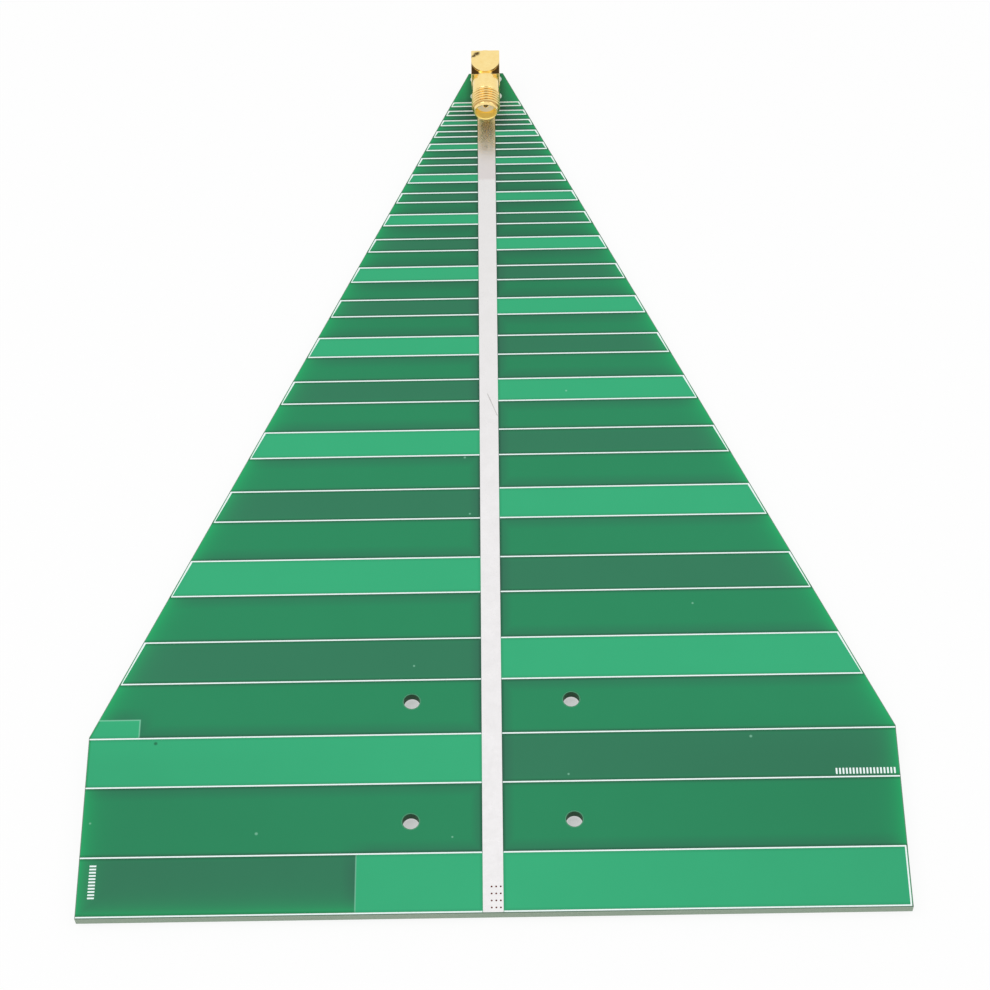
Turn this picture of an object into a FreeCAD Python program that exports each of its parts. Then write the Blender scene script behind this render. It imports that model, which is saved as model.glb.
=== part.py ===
import FreeCAD, Part
import math
import os

# Log-periodic dipole antenna printed on a flat board, with a right-angle coaxial jack at its tip.
# Millimetres. The origin is the centre of the four mounting holes, on the laminate's back face.
# +X is the board's right, +Y points from the wide end to the tip, +Z is the connector's side.

# Board outline
BOARD_LENGTH = 208.1
BOARD_WIDTH = 157.7
TIP_WIDTH = 7.8
STRAIGHT_SIDE = 38.3
LAMINATE_THICKNESS = 2.0
HOLE_PATTERN_FROM_NEAR_EDGE = 32.2

# Mounting holes
HOLE_SPACING_X = 31.4
HOLE_SPACING_Y = 26.0
HOLE_DIAMETER = 3.2
HOLE_MASK_CLEARANCE = 0.25
HOLE_MASK_SIDES = 24

# Layers on each face of the laminate
COPPER_THICKNESS = 0.035
TIN_THICKNESS = 0.02
MASK_OVER_COPPER = 0.025
SILK_THICKNESS = 0.015

# Dipole arms: each is a fixed ratio smaller than the last, measured from a common apex
APEX_BEYOND_TIP = 9.5
LARGEST_ARM_DEPTH = 12.2
LARGEST_ARM_GAP = 14.8
ARM_RATIO = 0.8806
ARM_SHARE_OF_STEP = 0.467
ARM_END_INSET = 0.4
NEAR_EDGE_MARGIN = 0.3
BOOM_WIDTH = 3.9
BOOM_EDGE_MARGIN = 0.15
BOOM_TIP_MARGIN = 0.4
PATCH_REACH = 26.0
TAB_LENGTH = 9.8
TAB_DEPTH = 4.1

# Printed outlines round the arms
SILK_LINE = 0.3
SILK_BOOM_GAP = 0.1
SILK_EDGE_GAP = 0.1

# Plated vias that join the two booms at the wide end
VIA_COLUMNS = 3
VIA_ROWS = 4
VIA_PITCH_X = 0.86
VIA_PITCH_Y = 1.43
VIA_FIELD_X = 0.58
VIA_FIELD_FROM_EDGE = 3.25
VIA_HOLE = 0.4
PLATING = 0.05
VIA_SIDES = 6

# Connector block with its four legs
BLOCK_WIDTH = 6.35
BLOCK_DEPTH = 7.1
WALL_OVER_SPIGOT = 0.15
BLOCK_SETBACK = 0.75
BLOCK_CHAMFER = 0.15
LEG_PITCH = 5.08
LEG_SIDE = 1.0
LEG_HOLE = 1.6
LEG_PAD = 2.1
TAIL_LENGTH = 1.2
CAP_DIAMETER = 6.2
CAP_THICKNESS = 0.45
CAP_PLUG_LENGTH = 0.8

# Threaded barrel, its insulator and the contacts
AXIS_HEIGHT = 6.2
BARREL_LENGTH = 9.1
THREAD_DIAMETER = 6.35
THREAD_LENGTH = 4.7
SHOULDER_DIAMETER = 5.75
THREAD_RUNOUT = 0.3
NOSE_DIAMETER = 5.3
NOSE_LENGTH = 0.75
NOSE_TAPER = 0.45
RECESS_DIAMETER = 4.6
RECESS_DEPTH = 1.9
RECESS_CHAMFER = 0.15
INSULATOR_DIAMETER = 4.1
SPIGOT_DIAMETER = 4.8
SPIGOT_LENGTH = 1.2
SOCKET_DIAMETER = 1.27
SOCKET_BORE = 0.96
SOCKET_DEPTH = 3.0
SOCKET_SLOT = 0.15
SOCKET_SLOT_LENGTH = 2.6
SOCKET_TAIL = 1.0
PIN_DIAMETER = 0.8
PIN_HOLE = 1.0
PIN_PAD = 1.9
PIN_ISOLATION = 3.0
LEG_HOLE_SIDES = 12
FEED_TONGUE_WIDTH = 1.6
FEED_TONGUE_GAP = 0.5

# Solder joints on the back
SOLDER_PAD_MARGIN = 0.1
SOLDER_HEIGHT = 0.85
SOLDER_NECK = 0.05
SOLDER_WAIST_SHARE = 0.3

# Places worked out from the sizes
NEAR_EDGE_Y = -HOLE_PATTERN_FROM_NEAR_EDGE
TIP_Y = NEAR_EDGE_Y + BOARD_LENGTH
SHOULDER_Y = NEAR_EDGE_Y + STRAIGHT_SIDE
APEX_Y = TIP_Y + APEX_BEYOND_TIP
COPPER_TOP = LAMINATE_THICKNESS + COPPER_THICKNESS
TIN_TOP = COPPER_TOP + TIN_THICKNESS
MASK_TOP = COPPER_TOP + MASK_OVER_COPPER
SEAT_Z = max(TIN_TOP, MASK_TOP)
TIN_BOTTOM = -COPPER_THICKNESS - TIN_THICKNESS
MASK_BOTTOM = -COPPER_THICKNESS - MASK_OVER_COPPER
TAIL_Z = -TAIL_LENGTH
BLOCK_Y = TIP_Y - BLOCK_SETBACK - BLOCK_DEPTH / 2
BLOCK_FRONT_Y = BLOCK_Y - BLOCK_DEPTH / 2
AXIS_Z = SEAT_Z + AXIS_HEIGHT
BLOCK_TOP_Z = AXIS_Z + SPIGOT_DIAMETER / 2 + WALL_OVER_SPIGOT
BARREL_FRONT_Y = BLOCK_FRONT_Y - BARREL_LENGTH
CONTACT_FACE_Y = BARREL_FRONT_Y + RECESS_DEPTH
CAVITY_FRONT_Y = BLOCK_Y - INSULATOR_DIAMETER / 2
LEFT = -1
RIGHT = 1
OPEN_ENDS = ((0, LEFT), (1, LEFT), (1, RIGHT))


def vector(x, y, z):
    return FreeCAD.Vector(x, y, z)


def plate(points, z_low, z_high):
    """A flat plate with the given outline, from z_low to z_high."""
    corners = [vector(x, y, z_low) for x, y in points]
    outline = Part.makePolygon(corners + corners[:1])
    return Part.Face(outline).extrude(vector(0, 0, z_high - z_low))


def block(x_low, x_high, y_low, y_high, z_low, z_high):
    return Part.makeBox(x_high - x_low, y_high - y_low, z_high - z_low, vector(x_low, y_low, z_low))


def post(x, y, diameter, z_low, z_high):
    """An upright cylinder."""
    return Part.makeCylinder(diameter / 2, z_high - z_low, vector(x, y, z_low))


def many_sided(x, y, sides, levels):
    """An upright solid with flat sides: levels lists its (diameter, z) from one end to the other."""
    step = 2 * math.pi / sides
    angles = [step * (number + 0.5) for number in range(sides)]
    rings = [
        [vector(x + size / 2 * math.cos(turn), y + size / 2 * math.sin(turn), z) for turn in angles]
        for size, z in levels
    ]
    outlines = [rings[0], rings[-1]]
    for low, high in zip(rings, rings[1:]):
        for here in range(sides):
            beside = (here + 1) % sides
            outlines.append([low[here], low[beside], high[beside], high[here]])
    faces = [Part.Face(Part.makePolygon(corners + corners[:1])) for corners in outlines]
    return Part.Solid(Part.Shell(faces))


def rod(diameter, y_low, y_high):
    """A cylinder along the barrel's axis."""
    start = vector(0, y_low, AXIS_Z)
    return Part.makeCylinder(diameter / 2, y_high - y_low, start, vector(0, 1, 0))


def joined(shapes):
    return shapes[0].multiFuse(shapes[1:]).removeSplitter()


# Where things lie on the board

def half_width(y):
    """Half the board's width at a distance y along it."""
    if y <= SHOULDER_Y:
        return BOARD_WIDTH / 2
    taper = (BOARD_WIDTH - TIP_WIDTH) / 2 / (TIP_Y - SHOULDER_Y)
    return BOARD_WIDTH / 2 - taper * (y - SHOULDER_Y)


def board_outline():
    right = [(half_width(y), y) for y in (NEAR_EDGE_Y, SHOULDER_Y, TIP_Y)]
    left = [(-x, y) for x, y in reversed(right)]
    return right + left


def arm_spans():
    """The near and far edge of each pair of arms, from the largest to the last before the block."""
    largest_near = NEAR_EDGE_Y + NEAR_EDGE_MARGIN
    spans = [(largest_near, largest_near + LARGEST_ARM_DEPTH)]
    radius = APEX_Y - spans[0][1] - LARGEST_ARM_GAP
    while True:
        far_radius = radius * (1 - ARM_SHARE_OF_STEP * (1 - ARM_RATIO))
        near, far = APEX_Y - radius, APEX_Y - far_radius
        if far + SILK_LINE > BLOCK_FRONT_Y:
            return spans
        spans.append((near, far))
        radius = radius * ARM_RATIO


def front_side(index):
    """The arms change sides: even ones are on the front at the right, odd ones at the left."""
    return RIGHT if index % 2 == 0 else LEFT


def arm_outline(side, near, far):
    return [
        (0, near),
        (side * (half_width(near) - ARM_END_INSET), near),
        (side * (half_width(far) - ARM_END_INSET), far),
        (0, far),
    ]


def mounting_points():
    return [
        (x * HOLE_SPACING_X / 2, y * HOLE_SPACING_Y / 2)
        for x in (LEFT, RIGHT)
        for y in (-1, 1)
    ]


def via_points():
    first_x = VIA_FIELD_X - VIA_PITCH_X * (VIA_COLUMNS - 1) / 2
    first_y = NEAR_EDGE_Y + VIA_FIELD_FROM_EDGE - VIA_PITCH_Y * (VIA_ROWS - 1) / 2
    return [
        (first_x + column * VIA_PITCH_X, first_y + row * VIA_PITCH_Y)
        for column in range(VIA_COLUMNS)
        for row in range(VIA_ROWS)
    ]


def leg_points():
    """The four legs by name."""
    half = LEG_PITCH / 2
    return {
        "front_left": (-half, BLOCK_Y - half),
        "front_right": (half, BLOCK_Y - half),
        "rear_left": (-half, BLOCK_Y + half),
        "rear_right": (half, BLOCK_Y + half),
    }


def drills(wall, z_low, z_high):
    """Cutters for the plated holes, each wider than its finished hole by the wall given."""
    holes = [(x, y, VIA_SIDES, VIA_HOLE) for x, y in via_points()]
    holes += [(x, y, LEG_HOLE_SIDES, LEG_HOLE) for x, y in leg_points().values()]
    holes.append((0, BLOCK_Y, LEG_HOLE_SIDES, PIN_HOLE))
    return [
        many_sided(x, y, sides, [(hole + 2 * wall, z_low), (hole + 2 * wall, z_high)])
        for x, y, sides, hole in holes
    ]


def mounting_cutters(z_low, z_high):
    return [post(x, y, HOLE_DIAMETER, z_low, z_high) for x, y in mounting_points()]


def clearance_cutters(z_low, z_high):
    """Cutters that keep the coats back from the mounting holes."""
    wide = HOLE_DIAMETER + 2 * HOLE_MASK_CLEARANCE
    levels = [(wide, z_low), (wide, z_high)]
    return [many_sided(x, y, HOLE_MASK_SIDES, levels) for x, y in mounting_points()]


# The board and its layers

def fr4_laminate():
    sheet = plate(board_outline(), 0, LAMINATE_THICKNESS)
    holes = drills(PLATING, 0, LAMINATE_THICKNESS) + mounting_cutters(0, LAMINATE_THICKNESS)
    return sheet.cut(holes)


def pad(x, y, diameter, z_low, z_high):
    return many_sided(x, y, LEG_HOLE_SIDES, [(diameter, z_low), (diameter, z_high)])


def front_strip(z_low, z_high):
    """The boom on the front and the leg pads beside it: the plan that the mask leaves bare."""
    near = NEAR_EDGE_Y + BOOM_EDGE_MARGIN
    boom = block(-BOOM_WIDTH / 2, BOOM_WIDTH / 2, near, TIP_Y - BOOM_TIP_MARGIN, z_low, z_high)
    pads = [pad(x, y, LEG_PAD, z_low, z_high) for x, y in leg_points().values()]
    return [boom] + pads


def back_strip(z_low, z_high):
    """The boom on the back, narrowed to a tongue between the leg pads, and the pads."""
    near = NEAR_EDGE_Y + BOOM_EDGE_MARGIN
    front_leg_y = BLOCK_Y - LEG_PITCH / 2
    neck = front_leg_y - LEG_PAD / 2 - FEED_TONGUE_GAP
    boom = block(-BOOM_WIDTH / 2, BOOM_WIDTH / 2, near, neck, z_low, z_high)
    tongue = block(-FEED_TONGUE_WIDTH / 2, FEED_TONGUE_WIDTH / 2, neck, BLOCK_Y, z_low, z_high)
    pin_pad = pad(0, BLOCK_Y, PIN_PAD, z_low, z_high)
    pads = [pad(x, y, LEG_PAD, z_low, z_high) for x, y in leg_points().values()]
    return [boom, tongue, pin_pad] + pads


def patch(z_low, z_high):
    """The matching patch beside the boom, in the row of the largest arms."""
    near, far = arm_spans()[0]
    return block(-PATCH_REACH, 0, near, far, z_low, z_high)


def tab(z_low, z_high):
    """The short step on the far edge of the second left arm."""
    far = arm_spans()[1][1]
    inner = half_width(far) - TAB_LENGTH
    points = [
        (-inner, far),
        (-(half_width(far) - ARM_END_INSET), far),
        (-(half_width(far + TAB_DEPTH) - ARM_END_INSET), far + TAB_DEPTH),
        (-inner, far + TAB_DEPTH),
    ]
    return plate(points, z_low, z_high)


def front_copper():
    levels = (LAMINATE_THICKNESS, COPPER_TOP)
    arms = [
        plate(arm_outline(front_side(index), near, far), *levels)
        for index, (near, far) in enumerate(arm_spans())
    ]
    foil = joined(front_strip(*levels) + arms + [patch(*levels), tab(*levels)])
    isolation = pad(0, BLOCK_Y, PIN_ISOLATION, *levels)
    return foil.cut(drills(0, *levels) + [isolation] + clearance_cutters(*levels))


def back_copper():
    levels = (-COPPER_THICKNESS, 0)
    arms = [
        plate(arm_outline(-front_side(index), near, far), *levels)
        for index, (near, far) in enumerate(arm_spans())
    ]
    foil = joined(back_strip(*levels) + arms)
    return foil.cut(drills(0, *levels) + clearance_cutters(*levels))


def front_boom_tin():
    levels = (COPPER_TOP, TIN_TOP)
    isolation = pad(0, BLOCK_Y, PIN_ISOLATION, *levels)
    return joined(front_strip(*levels)).cut(drills(0, *levels) + [isolation])


def back_boom_tin():
    levels = (TIN_BOTTOM, -COPPER_THICKNESS)
    return joined(back_strip(*levels)).cut(drills(0, *levels))


def front_solder_mask(foil):
    levels = (LAMINATE_THICKNESS, MASK_TOP)
    coat = plate(board_outline(), *levels)
    return coat.cut([foil] + front_strip(*levels) + clearance_cutters(*levels))


def back_solder_mask(foil):
    levels = (MASK_BOTTOM, 0)
    coat = plate(board_outline(), *levels)
    return coat.cut([foil] + back_strip(*levels) + clearance_cutters(*levels))


def closed_line(side, near, far):
    """One printed outline, open at the boom and closed beside the board's edge."""
    half_line = SILK_LINE / 2
    start = side * (BOOM_WIDTH / 2 + SILK_BOOM_GAP)
    near_end = half_width(near) - ARM_END_INSET
    far_end = half_width(far) - ARM_END_INSET
    points = [
        (start, near - half_line),
        (side * (near_end + half_line), near - half_line),
        (side * (far_end + half_line), far + half_line),
        (start, far + half_line),
        (start, far - half_line),
        (side * (far_end - half_line), far - half_line),
        (side * (near_end - half_line), near + half_line),
        (start, near + half_line),
    ]
    return plate(points, MASK_TOP, MASK_TOP + SILK_THICKNESS)


def open_line(side, y):
    """One printed line that runs from the boom to the board's edge."""
    half_line = SILK_LINE / 2
    start = BOOM_WIDTH / 2 + SILK_BOOM_GAP
    end = half_width(y + half_line) - SILK_EDGE_GAP
    low, high = sorted((side * start, side * end))
    return block(low, high, y - half_line, y + half_line, MASK_TOP, MASK_TOP + SILK_THICKNESS)


def front_silkscreen():
    """Outlines round the arms. The largest on the left and the second pair have open ends."""
    lines = []
    for index, (near, far) in enumerate(arm_spans()):
        for side in (LEFT, RIGHT):
            if (index, side) in OPEN_ENDS:
                lines += [open_line(side, near), open_line(side, far)]
            else:
                lines.append(closed_line(side, near, far))
    return Part.makeCompound(lines)


def plated_hole(x, y, sides, hole):
    wide = hole + 2 * PLATING
    outer = many_sided(x, y, sides, [(wide, 0), (wide, LAMINATE_THICKNESS)])
    return outer.cut(many_sided(x, y, sides, [(hole, 0), (hole, LAMINATE_THICKNESS)]))


def via_barrels():
    return Part.makeCompound([plated_hole(x, y, VIA_SIDES, VIA_HOLE) for x, y in via_points()])


def leg_hole_plating():
    barrels = [plated_hole(x, y, LEG_HOLE_SIDES, LEG_HOLE) for x, y in leg_points().values()]
    return Part.makeCompound(barrels)


def pin_hole_plating():
    return plated_hole(0, BLOCK_Y, LEG_HOLE_SIDES, PIN_HOLE)


# The connector

def leg(x, y):
    half = LEG_SIDE / 2
    return block(x - half, x + half, y - half, y + half, TAIL_Z, SEAT_Z)


def connector_block():
    """Milled block: bored from the front for the barrel and right through for the pin's insulator."""
    half = BLOCK_WIDTH / 2
    body = block(-half, half, BLOCK_FRONT_Y, BLOCK_Y + BLOCK_DEPTH / 2, SEAT_Z, BLOCK_TOP_Z)
    edges = [edge for edge in body.Edges if edge.BoundBox.ZMax > SEAT_Z + BLOCK_CHAMFER]
    body = body.makeChamfer(BLOCK_CHAMFER, edges)
    body = joined([body] + [leg(x, y) for x, y in leg_points().values()])
    upright_bore = post(0, BLOCK_Y, INSULATOR_DIAMETER, SEAT_Z, BLOCK_TOP_Z)
    barrel_seat = rod(SPIGOT_DIAMETER, BLOCK_FRONT_Y, BLOCK_FRONT_Y + SPIGOT_LENGTH)
    level_bore = rod(INSULATOR_DIAMETER, BLOCK_FRONT_Y, BLOCK_Y)
    return body.cut([upright_bore, barrel_seat, level_bore])


def connector_cap():
    """Flanged plug pressed into the top of the upright bore."""
    flange = post(0, BLOCK_Y, CAP_DIAMETER, BLOCK_TOP_Z, BLOCK_TOP_Z + CAP_THICKNESS)
    plug = post(0, BLOCK_Y, INSULATOR_DIAMETER, BLOCK_TOP_Z - CAP_PLUG_LENGTH, BLOCK_TOP_Z)
    return joined([flange, plug])


def connector_barrel():
    """Turned barrel: plain nose, thread's outside diameter, plain shoulder, pressed spigot."""
    thread_end = BARREL_FRONT_Y + THREAD_LENGTH
    profile = [
        (BARREL_FRONT_Y, NOSE_DIAMETER),
        (BARREL_FRONT_Y + NOSE_LENGTH, NOSE_DIAMETER),
        (BARREL_FRONT_Y + NOSE_LENGTH + NOSE_TAPER, THREAD_DIAMETER),
        (thread_end, THREAD_DIAMETER),
        (thread_end + THREAD_RUNOUT, SHOULDER_DIAMETER),
        (BLOCK_FRONT_Y, SHOULDER_DIAMETER),
        (BLOCK_FRONT_Y, SPIGOT_DIAMETER),
        (BLOCK_FRONT_Y + SPIGOT_LENGTH, SPIGOT_DIAMETER),
        (BLOCK_FRONT_Y + SPIGOT_LENGTH, INSULATOR_DIAMETER),
        (CONTACT_FACE_Y, INSULATOR_DIAMETER),
        (CONTACT_FACE_Y, RECESS_DIAMETER),
        (BARREL_FRONT_Y + RECESS_CHAMFER, RECESS_DIAMETER),
        (BARREL_FRONT_Y, RECESS_DIAMETER + 2 * RECESS_CHAMFER),
    ]
    corners = [vector(0, y, AXIS_Z + diameter / 2) for y, diameter in profile]
    section = Part.Face(Part.makePolygon(corners + corners[:1]))
    return section.revolve(vector(0, 0, AXIS_Z), vector(0, 1, 0), 360)


def barrel_insulator():
    sleeve = rod(INSULATOR_DIAMETER, CONTACT_FACE_Y, CAVITY_FRONT_Y)
    return sleeve.cut(rod(SOCKET_DIAMETER, CONTACT_FACE_Y, CAVITY_FRONT_Y))


def pin_insulator():
    top = AXIS_Z - INSULATOR_DIAMETER / 2
    bush = post(0, BLOCK_Y, INSULATOR_DIAMETER, SEAT_Z, top)
    return bush.cut(post(0, BLOCK_Y, PIN_DIAMETER, SEAT_Z, top))


def centre_socket():
    """Slotted spring socket, cross-drilled at its tail for the upright pin."""
    body = rod(SOCKET_DIAMETER, CONTACT_FACE_Y, BLOCK_Y + SOCKET_TAIL)
    bore = rod(SOCKET_BORE, CONTACT_FACE_Y, CONTACT_FACE_Y + SOCKET_DEPTH)
    radius = SOCKET_DIAMETER / 2
    slot_end = CONTACT_FACE_Y + SOCKET_SLOT_LENGTH
    half = SOCKET_SLOT / 2
    upright_slot = block(-half, half, CONTACT_FACE_Y, slot_end, AXIS_Z - radius, AXIS_Z + radius)
    level_slot = block(-radius, radius, CONTACT_FACE_Y, slot_end, AXIS_Z - half, AXIS_Z + half)
    cross_hole = post(0, BLOCK_Y, PIN_DIAMETER, AXIS_Z - radius, AXIS_Z + radius)
    return body.cut([bore, upright_slot, level_slot, cross_hole])


def centre_pin():
    return post(0, BLOCK_Y, PIN_DIAMETER, TAIL_Z, AXIS_Z + SOCKET_DIAMETER / 2)


def solder_joint(x, y, hole, pad_size, neck):
    """Solder that fills a plated hole and rises in a hollow fillet round the tail on the back."""
    wide = pad_size - 2 * SOLDER_PAD_MARGIN
    waist = neck + (wide - neck) * SOLDER_WAIST_SHARE
    levels = [
        (neck, TIN_BOTTOM - SOLDER_HEIGHT),
        (waist, TIN_BOTTOM - SOLDER_HEIGHT / 2),
        (wide, TIN_BOTTOM),
        (hole, TIN_BOTTOM),
        (hole, TIN_TOP),
    ]
    return many_sided(x, y, LEG_HOLE_SIDES, levels)


def leg_solder(x, y):
    neck = LEG_SIDE * math.sqrt(2) + 2 * SOLDER_NECK
    return solder_joint(x, y, LEG_HOLE, LEG_PAD, neck).cut(leg(x, y))


def pin_solder():
    neck = PIN_DIAMETER + 2 * SOLDER_NECK
    return solder_joint(0, BLOCK_Y, PIN_HOLE, PIN_PAD, neck).cut(centre_pin())


def build_nodes():
    front_foil = front_copper()
    back_foil = back_copper()
    nodes = {
        "fr4_laminate": fr4_laminate(),
        "front_copper": front_foil,
        "back_copper": back_foil,
        "front_solder_mask": front_solder_mask(front_foil),
        "back_solder_mask": back_solder_mask(back_foil),
        "front_boom_tin": front_boom_tin(),
        "back_boom_tin": back_boom_tin(),
        "front_silkscreen": front_silkscreen(),
        "via_barrels": via_barrels(),
        "leg_hole_plating": leg_hole_plating(),
        "pin_hole_plating": pin_hole_plating(),
        "connector_block": connector_block(),
        "connector_cap": connector_cap(),
        "connector_barrel": connector_barrel(),
        "barrel_insulator": barrel_insulator(),
        "pin_insulator": pin_insulator(),
        "centre_socket": centre_socket(),
        "centre_pin": centre_pin(),
        "pin_solder": pin_solder(),
    }
    for name, (x, y) in leg_points().items():
        nodes["leg_solder_" + name] = leg_solder(x, y)
    return nodes


def main():
    os.makedirs("parts", exist_ok=True)
    for name, shape in build_nodes().items():
        shape.exportStep("parts/" + name + ".step")
        print(name, "solids", len(shape.Solids), "volume mm3", round(shape.Volume, 3))


main()
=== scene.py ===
# %% [markdown]
# # A flat log-periodic antenna and its gold jack
# The object is a tapered circuit board with a comb of printed arms on each face.
# A small gold-plated jack stands at the tip, and its threaded barrel points down the board.
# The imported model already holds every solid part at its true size, in metres.
# This lesson dresses that model: it gives each part its finish, cuts the thread on the barrel,
# and sets the board on a plain floor under soft light.

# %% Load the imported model
import bmesh
import bpy
import math
from mathutils import Matrix, Vector


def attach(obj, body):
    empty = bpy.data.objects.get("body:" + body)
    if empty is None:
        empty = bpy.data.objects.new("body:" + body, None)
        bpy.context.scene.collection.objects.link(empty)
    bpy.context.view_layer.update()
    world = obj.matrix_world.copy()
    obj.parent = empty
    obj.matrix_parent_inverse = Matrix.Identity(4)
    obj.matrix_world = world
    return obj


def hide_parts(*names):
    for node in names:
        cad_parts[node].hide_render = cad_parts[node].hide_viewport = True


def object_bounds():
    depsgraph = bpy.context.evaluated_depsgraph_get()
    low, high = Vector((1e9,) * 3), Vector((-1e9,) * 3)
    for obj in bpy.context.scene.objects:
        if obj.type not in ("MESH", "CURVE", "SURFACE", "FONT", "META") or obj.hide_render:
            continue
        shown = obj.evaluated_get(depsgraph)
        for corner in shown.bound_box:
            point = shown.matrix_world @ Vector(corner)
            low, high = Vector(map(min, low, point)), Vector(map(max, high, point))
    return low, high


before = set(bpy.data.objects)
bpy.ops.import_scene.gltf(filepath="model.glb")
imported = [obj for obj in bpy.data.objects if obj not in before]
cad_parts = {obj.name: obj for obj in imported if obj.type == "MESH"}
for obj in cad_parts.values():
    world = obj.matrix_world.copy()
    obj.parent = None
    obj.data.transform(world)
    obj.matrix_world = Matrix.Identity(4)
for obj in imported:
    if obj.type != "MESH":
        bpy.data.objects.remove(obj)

cad_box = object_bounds()
MM = 0.001
print("parts in the model:", len(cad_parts))

# %% [markdown]
# ## Sizes that the looks need
# A finish that follows the printed arms has to know where they lie.
# On the real board each arm is a fixed ratio smaller than the last, counted from one apex.
# Those few sizes are enough to work out every arm, so the list of arms is never typed in.

# %% Sizes of the board, in millimetres
TIP_Y = 175.9
NEAR_EDGE_Y = -32.2
SHOULDER_Y = 6.1
BOARD_HALF = 78.85
TIP_HALF = 3.9
TAPER = (BOARD_HALF - TIP_HALF) / (TIP_Y - SHOULDER_Y)
HOLE_X = 15.7
HOLE_Y = 13.0
MASK_TOP_Z = 2.06
print("the board is", 2 * BOARD_HALF, "by", round(TIP_Y - NEAR_EDGE_Y, 1), "mm")

# %% Sizes of the printed arms, in millimetres
APEX_Y = 185.4
LARGEST_ARM = (-31.9, -19.7)
SECOND_ARM_RADIUS = 190.3
ARM_RATIO = 0.8806
ARM_SHARE = 0.467
FAR_SHARE = 1 - ARM_SHARE * (1 - ARM_RATIO)
SMALLER_ARMS = 19
ARM_END_INSET = 0.4
BOOM_HALF = 1.95
PATCH_REACH = 26.0
TAB_START = 69.05
TAB_DEPTH = 4.1
TAB_FOOT_Y = APEX_Y - SECOND_ARM_RADIUS * FAR_SHARE
print("each arm is", ARM_RATIO, "of the one before it")

# %% Places of the jack, in millimetres
JACK_AXIS_Z = 8.26
JACK_FRONT_Y = 158.95
BLOCK_FRONT_Y = 168.05
BLOCK_Y = 171.6
print("the barrel is", round(BLOCK_FRONT_Y - JACK_FRONT_Y, 2), "mm long")

# %% [markdown]
# ## The camera
# The photograph looks down on the board from beyond its wide end, at about 57 degrees.
# The camera could be placed by eye and nudged, but a straight-sided board shows every error.
# Its place, its turn and its lens were therefore worked out from the board's own edges.

# %% Place the camera
LENS_LENGTH = 97.633
SENSOR_WIDTH = 36.0
CAMERA_PLACE = (6.7998, -237.917, 468.999)
LOOK_DOWN_ANGLE = 1.00133
TURN_ANGLE = 0.01904
TILT_ANGLE = -0.03272

camera_data = bpy.data.cameras.new("camera")
camera_data.lens = LENS_LENGTH
camera_data.sensor_width = SENSOR_WIDTH
camera_data.clip_start = 0.01
camera = bpy.data.objects.new("camera", camera_data)
bpy.context.scene.collection.objects.link(camera)
look_down = Matrix.Rotation(math.pi / 2 - LOOK_DOWN_ANGLE, 4, "X")
turn = Matrix.Rotation(TURN_ANGLE, 4, "Z")
tilt = Matrix.Rotation(TILT_ANGLE, 4, "Z")
place = Matrix.Translation(Vector(CAMERA_PLACE) * MM)
camera.matrix_world = place @ turn @ look_down @ tilt
bpy.context.scene.camera = camera
bpy.context.scene.view_settings.view_transform = "Standard"
print("the camera looks down at", round(math.degrees(LOOK_DOWN_ANGLE)), "degrees")

# %% [markdown]
# ## Helpers for node materials
# Each finish is a tree of nodes on the standard shader. The nodes could be placed one by one
# in the Shader Editor, but the same few groups return in each finish, so they are named here.
# Every pattern starts from the object's own coordinates, turned into millimetres.

# %% Start a finish
def new_finish(name):
    """A material with one Principled shader, and its node tree."""
    finish = bpy.data.materials.new(name)
    finish.use_nodes = True
    shader = finish.node_tree.nodes["Principled BSDF"]
    return finish, finish.node_tree, shader


print("each finish starts from the Principled shader")

# %% Work with numbers and colours in nodes
def maths(tree, operation, first, second=0.0, third=0.0, clamp=False):
    """One Math node. Each value is a number or the output of another node."""
    node = tree.nodes.new("ShaderNodeMath")
    node.operation = operation
    node.use_clamp = clamp
    for socket, value in zip(node.inputs, (first, second, third)):
        if isinstance(value, (int, float)):
            socket.default_value = value
        else:
            tree.links.new(value, socket)
    return node.outputs[0]


def blend(tree, amount, first, second):
    """Mixes two colours: all first at 0 and all second at 1."""
    node = tree.nodes.new("ShaderNodeMix")
    node.data_type = "RGBA"
    for place_in_node, value in ((0, amount), (6, first), (7, second)):
        socket = node.inputs[place_in_node]
        if isinstance(value, (int, float)):
            socket.default_value = value
        elif isinstance(value, tuple):
            socket.default_value = (*value, 1.0)
        else:
            tree.links.new(value, socket)
    return node.outputs[2]


def paint_over(tree, colour, cover, strength, paint):
    """Lays a paint over a colour, as strongly as given where the cover is 1."""
    return blend(tree, maths(tree, "MULTIPLY", cover, strength), colour, paint)


def linear(red, green, blue):
    """A screen colour from 0 to 255 as the numbers that a shader works in."""
    def one(value):
        value = value / 255
        return value / 12.92 if value <= 0.04045 else ((value + 0.055) / 1.055) ** 2.4
    return (one(red), one(green), one(blue))


print("a mid grey of 128 works as", round(linear(128, 128, 128)[0], 3))

# %% Read the place of a point and make random mottling
def place_in_mm(tree):
    """The point being shaded, in millimetres."""
    source = tree.nodes.new("ShaderNodeTexCoord")
    scaled = tree.nodes.new("ShaderNodeVectorMath")
    scaled.operation = "SCALE"
    scaled.inputs["Scale"].default_value = 1 / MM
    tree.links.new(source.outputs["Object"], scaled.inputs[0])
    return scaled.outputs[0]


def split(tree, where):
    """The x, y and z of a point."""
    parts = tree.nodes.new("ShaderNodeSeparateXYZ")
    tree.links.new(where, parts.inputs[0])
    return parts.outputs[0], parts.outputs[1], parts.outputs[2]


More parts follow.
